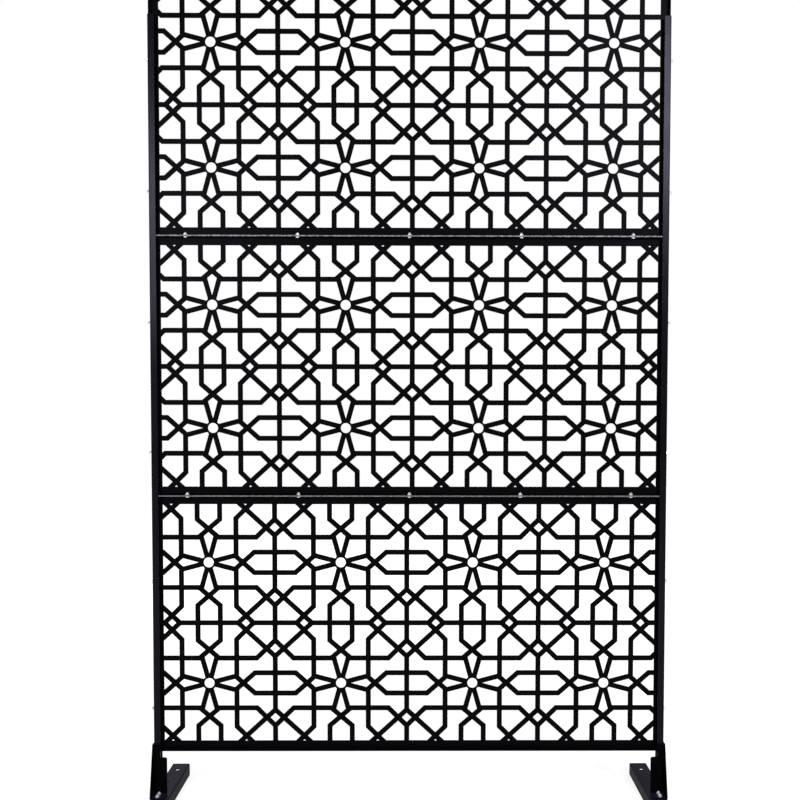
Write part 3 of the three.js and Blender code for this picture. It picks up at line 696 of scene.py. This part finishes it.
def bracket(side, label):
    """The folded plate: x = side * (gusset - u), z = shoulder + v and y = web + w, with the tongue below
    -drop folded to -w. The gusset: y = u, z = v, x = side * (middle + w)."""
    low, high = cad(f"bracket_{label}")
    outer, inner = np.abs([low[0], high[0]]).max(), np.abs([low[0], high[0]]).min()
    web = cad(f"post_{label}_lower")[0][1] - POST_PLAY - PLATE / 2
    gusset = outer - PLATE
    width, narrow, top = gusset - inner, NECK - PLATE, high[2] - SHOULDER
    drop = SHOULDER - low[2] - BRACKET_BEND - PLATE / 2
    tongue_end = flat_length(drop, BRACKET_BEND, web + PLATE / 2 - low[1], PLATE)
    outline = rounded([
        [0, -tongue_end], [width, -tongue_end], [width, -SHOULDER_CUT], [width - SHOULDER_CUT, 0],
        [narrow, 0], [narrow, top], [0, top],
    ], [0, 2.5, 1.0, 1.0, 1.0, 1.5, 0])
    bolts = [middle_of(f"foot_nut_{label}_{i}") for i in (1, 2)]
    holes = [circle(gusset - abs(x), -flat_length(drop, BRACKET_BEND, web + PLATE / 2 - y, PLATE), BOLT_HOLE)
             for x, y, _ in bolts]
    creases = [crease[:, ::-1] for crease in creases_over(drop, BRACKET_BEND, 0, width, [-1])]

    def place(u, v, w):
        up, w = folded(v, w, drop, BRACKET_BEND, turn=-1)
        return np.c_[gusset - u, web + w, SHOULDER + up]

    plate = sheet_metal(cut_blank(outline, holes, creases), PLATE, place)
    front = [-GUSSET_TOP_REACH, high[2]]
    side_plate = rounded([[low[1], low[2]], [high[1], low[2]], high[1:], front, [low[1], low[2] + PLATE]],
                         [0.8, 1.5, 1.5, 1.5, 0.8])
    flat = cut_blank(side_plate, [circle(0, POST_BOLT_HEIGHT, SINK_HEAD + 0.4)])
    wall = sheet_metal(flat, PLATE, lambda u, v, w: np.c_[gusset + PLATE / 2 + w, u, v])
    both = on_side(joined(plate, wall), side)
    return make_piece(f"bracket_{label}_plate", *both, base_coat, "coated_base", f"bracket_{label}")


for side, label in ((-1, "left"), (1, "right")):
    made = bracket(side, label)
    print(made.name, len(made.data.polygons), "faces")

# %% [markdown]
# ## Bolts and nuts
# They are M5, with button heads and hexagon nuts. All are turned shapes whose radius may depend on the angle
# as well: that turns a circle into a hexagon, and a plain shank into a thread. Each is one grid of rows from
# one end to the other. A row whose radius is 0 closes the end.

# %% Turned shapes
THREAD, THREAD_PITCH, THREAD_DEPTH = 5.0, 0.8, 0.45
HEAD, HEAD_HEIGHT = 9.6, 2.8
NUT, NUT_HEIGHT = 8.0, 4.0
SOCKET, SOCKET_DEPTH = 3.0, 1.5
COAT = 0.1  # the paint film under a nut
SIDES = 24
angles = 2 * np.pi * np.arange(SIDES) / SIDES


def hexagon(across):
    """The radius at each angle of a hexagon that measures this across its flats: half of it / cos(angle),
    the angle being that from the middle of the nearest flat."""
    return across / 2 / np.cos((angles + np.pi / 6) % (np.pi / 3) - np.pi / 6)


def revolved(rows, ring=False):
    """Points (r cos a, r sin a, h) for rows of (r, h), each a number or an array over the angles. The rows
    run up the outside. A ring joins the last row to the first; otherwise a point closes each end."""
    r, h = (np.array([np.broadcast_to(row[i], SIDES) for row in rows], float) for i in (0, 1))
    points = np.stack([r * np.cos(angles), r * np.sin(angles), h], axis=-1).reshape(-1, 3)
    count = len(rows) if ring else len(rows) - 1
    i, j = (np.arange(count) * SIDES)[:, None], np.arange(SIDES)
    up, on = (i + SIDES) % (len(rows) * SIDES), (j + 1) % SIDES
    quads = np.stack([i + j, i + on, up + on, up + j], axis=-1).reshape(-1, 4)
    if ring:
        return points, [quads]
    ends = np.array([[0, 0, h[0].mean()], [0, 0, h[-1].mean()]])
    last, pole = (len(rows) - 1) * SIDES, np.full(SIDES, len(points))
    fans = np.concatenate([np.c_[pole, on, j], np.c_[pole + 1, last + j, last + on]])
    return np.concatenate([points, ends]), [quads, fans]


def thread(start, end):
    """Rows of a helix: r = outside - depth * |2 t - 1|, where t is the part of a turn h / pitch - a / 2 pi.
    It runs out to the core over the last half pitch at both ends."""
    h = np.linspace(start, end, int((end - start) / THREAD_PITCH * 6) + 1)
    t = (h[:, None] / THREAD_PITCH - angles / (2 * np.pi)) % 1
    fade = np.clip(np.minimum(h - start, end - h) / (THREAD_PITCH / 2), 0, 1)[:, None]
    r = THREAD / 2 - THREAD_DEPTH * (1 - fade * (1 - np.abs(2 * t - 1)))
    return list(zip(r, h))


# %% [markdown]
# The button head is a flat crown that curves down to a thin edge, with a hexagon socket in it. A nut's
# corners are turned off at 30 degrees at both ends, which gives its flats their curved shoulders. The same
# formula that makes the hexagon gives the height of that cut, because it only reaches the corners.

# %% A bolt, a countersunk bolt, and a nut
CROWN_FLAT, HEAD_EDGE, HEAD_BEVEL = 2.3, 0.5, 0.15
POINT = 1.8  # radius of a shank's flat end
SHOULDER_CONE = 0.2  # length of the step from the plain shank down to the thread's core
SINK_CONE, SINK_RIM, SINK_THREAD_END = 2.1, 0.1, 6.0
CHAMFER_FROM = 3.8
NUT_HOLE = 5.3
END_BEVEL = 0.3  # at a shank's end, and round both ends of a nut's hole


def socket(top, down):
    """Rows from the floor of a hexagon socket up to its mouth; down is the way from mouth to floor."""
    return [(hexagon(SOCKET), top + down * SOCKET_DEPTH), (hexagon(SOCKET), top)]


def bolt(length, thread_start):
    """Along +z, with the bearing face of its head at 0. The crown is a quarter of an ellipse from the flat
    to the edge: r = flat + (head / 2 - flat) cos t, h = -edge - (height - edge) sin t."""
    t = np.linspace(np.pi / 2, 0, 6)
    crown_r = CROWN_FLAT + (HEAD / 2 - CROWN_FLAT) * np.cos(t)
    crown_h = -HEAD_EDGE - (HEAD_HEIGHT - HEAD_EDGE) * np.sin(t)
    head = socket(-HEAD_HEIGHT, 1) + list(zip(crown_r, crown_h))
    under = [(HEAD / 2, -HEAD_BEVEL), (HEAD / 2 - HEAD_BEVEL, 0)]
    shank = [(THREAD / 2, 0), (THREAD / 2, thread_start - SHOULDER_CONE)]
    return revolved(head + under + shank + thread(thread_start, length - END_BEVEL) + [(POINT, length)])


def sunk_bolt(length):
    """Along +z, with its sunk head at the end: the cone widens from the shank to the head's rim."""
    shank = [(POINT, 0)] + thread(END_BEVEL, SINK_THREAD_END) + [(THREAD / 2, SINK_THREAD_END + 0.4)]
    rim = [(SINK_HEAD / 2 - SINK_RIM, length - SINK_RIM), (SINK_HEAD / 2 - 2 * SINK_RIM, length)]
    return revolved(shank + [(THREAD / 2, length - SINK_CONE)] + rim + socket(length, -1)[::-1])


def nut():
    """A ring of rows. Where the hexagon is wider than CHAMFER_FROM, its end is cut by the excess times
    tan 30. A small bevel leads into the hole at both ends."""
    hexa, bore = hexagon(NUT), NUT_HOLE / 2
    cut = (hexa - CHAMFER_FROM) * np.tan(np.pi / 6)
    outside = [(CHAMFER_FROM, 0), (hexa, cut), (hexa, NUT_HEIGHT - cut), (CHAMFER_FROM, NUT_HEIGHT)]
    inside = [(bore + END_BEVEL, NUT_HEIGHT), (bore, NUT_HEIGHT - END_BEVEL), (bore, END_BEVEL)]
    return revolved([(bore + END_BEVEL, 0)] + outside + inside, ring=True)


def moved(surface, place, outwards=0, turn=0):
    """The surface set down at a place, turned about its own axis by an angle in degrees first. With outwards
    1 or -1, its axis is then turned from z to x or -x."""
    points, grids = surface
    c, s = np.cos(np.radians(turn)), np.sin(np.radians(turn))
    points = points @ np.array([[c, s, 0], [-s, c, 0], [0, 0, 1]])
    if outwards:
        points = points[:, [2, 1, 0]] * np.array([outwards, 1, -outwards])
    return points + place, grids


def fastener(surface, name):
    """A plated piece that stands for the CAD node of the same name."""
    return make_piece(name + "_plated", *surface, zinc, "plated_fastener", name)


# %% [markdown]
# Every bolt and nut takes its place and its length from its CAD node's box, so nothing has to be measured
# twice. Hand-tightened nuts stop at any angle. Here each is turned by an angle of its own, within a twentieth
# of a turn either way, so that each catches the light in its own way.

# %% Put the fasteners in
THREAD_LEAD = 0.6  # the thread starts this far before the nut
MOST_TWIST = 18
UPRIGHT_TURN, SIDE_TURN = 47, 31  # degrees from one bolt's socket to the next one's


def twist(count):
    """An angle in degrees for the nut with this number: most * sin(2.4 count), which never repeats."""
    return MOST_TWIST * np.sin(2.4 * count)


def upright_pair(bolt_name, nut_name, count):
    """A bolt with its head below and its nut above."""
    (low, high), nut_low = cad(bolt_name), cad(nut_name)[0][2]
    x, y, _ = (low + high) / 2
    bearing = low[2] + HEAD_HEIGHT
    shank = bolt(high[2] - bearing, nut_low - bearing - THREAD_LEAD)
    fastener(moved(shank, [x, y, bearing], turn=count * UPRIGHT_TURN), bolt_name)
    fastener(moved(nut(), [x, y, nut_low], turn=twist(count)), nut_name)


for seam in ("lower", "upper"):
    for i in range(1, SEAM_BOLTS + 1):
        upright_pair(f"seam_bolt_{seam}_{i}", f"seam_nut_{seam}_{i}", i + (seam == "upper") * SEAM_BOLTS)

for side, label in ((-1, "left"), (1, "right")):
    for i in (1, 2):
        upright_pair(f"foot_bolt_{label}_{i}", f"foot_nut_{label}_{i}", i + side)
    for i in range(1, 7):
        name = f"side_bolt_{label}_{i}"
        near, far = np.sort(np.abs(cad(name)[:, 0]))
        _, y, z = middle_of(name)
        bearing = near + HEAD_HEIGHT
        nut_near = np.abs(cad(f"post_{label}_lower")[:, 0]).max() + COAT
        shank = bolt(far - bearing, nut_near - bearing - THREAD_LEAD)
        shank = moved(shank, [side * bearing, y, z], side, turn=i * SIDE_TURN)
        hexagonal = moved(nut(), [side * nut_near, y, z], side, turn=twist(i))
        fastener(joined(shank, hexagonal), name)
    near, far = np.sort(np.abs(cad(f"post_bolt_{label}")[:, 0]))
    _, y, z = middle_of(f"post_bolt_{label}")
    fastener(moved(sunk_bolt(far - near), [side * near, y, z], side), f"post_bolt_{label}")
    near = np.abs(cad(f"post_nut_{label}")[:, 0]).min()
    fastener(moved(nut(), [side * near, y, z], side), f"post_nut_{label}")
plated = [piece for piece in bpy.data.objects if piece.name.endswith("_plated")]
print(len(plated), "plated pieces,", sum(len(piece.data.polygons) for piece in plated), "faces")

# %% [markdown]
# ## Studio
# The photograph shows the screen cut out on white, taken from chest height and close by. The lights are
# large and soft. One box in front on the left and a higher one on the right give the satin posts their long
# highlights, and leave the matt lattice dark. One behind on the left draws light over the tops of the feet.
# The white around the object is no light: the world and the floor only look white to the camera and in
# reflections. In reflections, the world is white in the half behind the screen only. The camera's half stays
# dim, like the unlit end of a studio.

# %% Camera, from a fit of the panels' corners and seams
camera = bpy.data.objects.new("camera", bpy.data.cameras.new("camera"))
bpy.context.scene.collection.objects.link(camera)
bpy.context.scene.camera = camera
camera.location = 0.022496, -2.271849, 0.994659
camera.rotation_euler = 1.53118, -0.00141, -0.00641
camera.data.sensor_width = 36.0
camera.data.lens = 44.08
camera.data.shift_x = -0.0319
camera.data.shift_y = 0.0260
print("Camera at", tuple(round(c, 3) for c in camera.location), "lens", camera.data.lens, "mm")

# %% A mask for what is seen directly or in a reflection
def seen_or_mirrored(tree, mirrored_part=None):
    """An output that is 1 for camera rays, 1 times the mirrored part for glossy and transmission rays, and 0
    for the rest. The mirrored part is another node's output."""
    path = add(tree, "ShaderNodeLightPath").outputs
    rays = add(tree, "ShaderNodeMath", {0: path["Is Glossy Ray"], 1: path["Is Transmission Ray"]},
               operation="MAXIMUM").outputs["Value"]
    if mirrored_part is not None:
        rays = add(tree, "ShaderNodeMath", {0: rays, 1: mirrored_part}, operation="MULTIPLY").outputs["Value"]
    return add(tree, "ShaderNodeMath", {0: rays, 1: path["Is Camera Ray"]},
               operation="MAXIMUM").outputs["Value"]


# %% World
DIM_HALF = 0.26
BLEND = 0.25  # The dim half turns into the white one while the direction's y goes from -BLEND to BLEND.
world = bpy.data.worlds.new("studio")
bpy.context.scene.world = world
world.use_nodes = True
sky = world.node_tree
towards = add(sky, "ShaderNodeTexCoord").outputs["Generated"]
depth = add(sky, "ShaderNodeSeparateXYZ", {"Vector": towards}).outputs["Y"]
behind = add(sky, "ShaderNodeMapRange", {"Value": depth, "From Min": -BLEND, "From Max": BLEND})
seen = seen_or_mirrored(sky, behind.outputs["Result"])
dim = add(sky, "ShaderNodeBackground", {"Color": linear("#c8ccd2"), "Strength": DIM_HALF})
white = add(sky, "ShaderNodeBackground", {"Color": linear("#ffffff"), "Strength": 1.0})
both = add(sky, "ShaderNodeMixShader",
           {0: seen, 1: dim.outputs["Background"], 2: white.outputs["Background"]}).outputs["Shader"]
sky.links.new(both, sky.nodes["World Output"].inputs["Surface"])
print("World:", world.name)

# %% [markdown]
# The floor is a pale, slightly mottled sheet. To the camera and in reflections it looks brighter than it is:
# full white far out, where the lamps don't reach, and less near the feet, where the lamps add the rest and
# the soft shadow stays.

# %% Floor
FLOOR_SIZE = 14.0
NEAR, FAR, NEAR_LIFT = 0.7, 2.6, 0.72
floor_mesh = bpy.data.meshes.new("floor")
floor_points = np.array([[-1, -1, 0], [1, -1, 0], [1, 1, 0], [-1, 1, 0]]) * FLOOR_SIZE / 2
floor_mesh.from_pydata(floor_points.tolist(), [], [[0, 1, 2, 3]])
floor = bpy.data.objects.new("floor", floor_mesh)
bpy.context.scene.collection.objects.link(floor)

floor_material = bpy.data.materials.new("pale_studio_floor")
floor_material.use_nodes = True
ground = floor_material.node_tree
ground_shader = ground.nodes["Principled BSDF"]
ground_place = add(ground, "ShaderNodeTexCoord").outputs["Object"]
mottle = add(ground, "ShaderNodeTexNoise", {"Vector": ground_place, "Scale": 6.0}).outputs["Fac"]
pale = add(ground, "ShaderNodeMix", {"Factor": mottle}, data_type="RGBA")
pale.inputs["A"].default_value = linear("#dcdcdc")
pale.inputs["B"].default_value = linear("#e2e2e2")
ground.links.new(pale.outputs["Result"], ground_shader.inputs["Base Color"])
ground_shader.inputs["Roughness"].default_value = 0.9
ground_shader.inputs["Specular IOR Level"].default_value = 0.1
out = add(ground, "ShaderNodeVectorMath", {0: ground_place}, operation="LENGTH").outputs["Value"]
needed = add(ground, "ShaderNodeMapRange",
             {"Value": out, "From Min": NEAR, "From Max": FAR, "To Min": NEAR_LIFT, "To Max": 1.0})
lift = add(ground, "ShaderNodeMath",
           {0: seen_or_mirrored(ground), 1: needed.outputs["Result"]}, operation="MULTIPLY")
ground.links.new(lift.outputs["Value"], ground_shader.inputs["Emission Strength"])
ground_shader.inputs["Emission Color"].default_value = linear("#ffffff")
floor_mesh.materials.append(floor_material)
print("Floor:", FLOOR_SIZE, "m square")

# %% [markdown]
# A softbox is a square area lamp. The larger it is, the softer are its shadows and the wider its highlights.
# Where it stands is worked out backwards from a highlight: the way from the camera to the post, mirrored at
# the post's face, has to meet the lamp.

# %% Lamps
def softbox(name, place, target, size, watts):
    """A square area lamp at a place, turned so that its -z axis points to the target."""
    lamp = bpy.data.objects.new(name, bpy.data.lights.new(name, "AREA"))
    lamp.data.size = size
    lamp.data.energy = watts
    lamp.location = place
    lamp.rotation_euler = (Vector(target) - Vector(place)).to_track_quat("-Z", "Y").to_euler()
    bpy.context.scene.collection.objects.link(lamp)
    print(name, size, "m", watts, "W")


softbox("left_box", (-1.45, -3.2, 1.9), (-0.2, 0, 1.1), 0.9, 44)
softbox("right_box", (1.5, -3.15, 2.5), (0.2, 0, 1.1), 0.9, 78)
softbox("rim_box", (-1.5, 2.9, 2.2), (0, 0, 0.8), 1.5, 28)

# %% [markdown]
# ## Finish
# The view transform stays plain, so that colours come out as they are written.

# %% Finish
scene = bpy.context.scene
scene.view_settings.view_transform = "Standard"
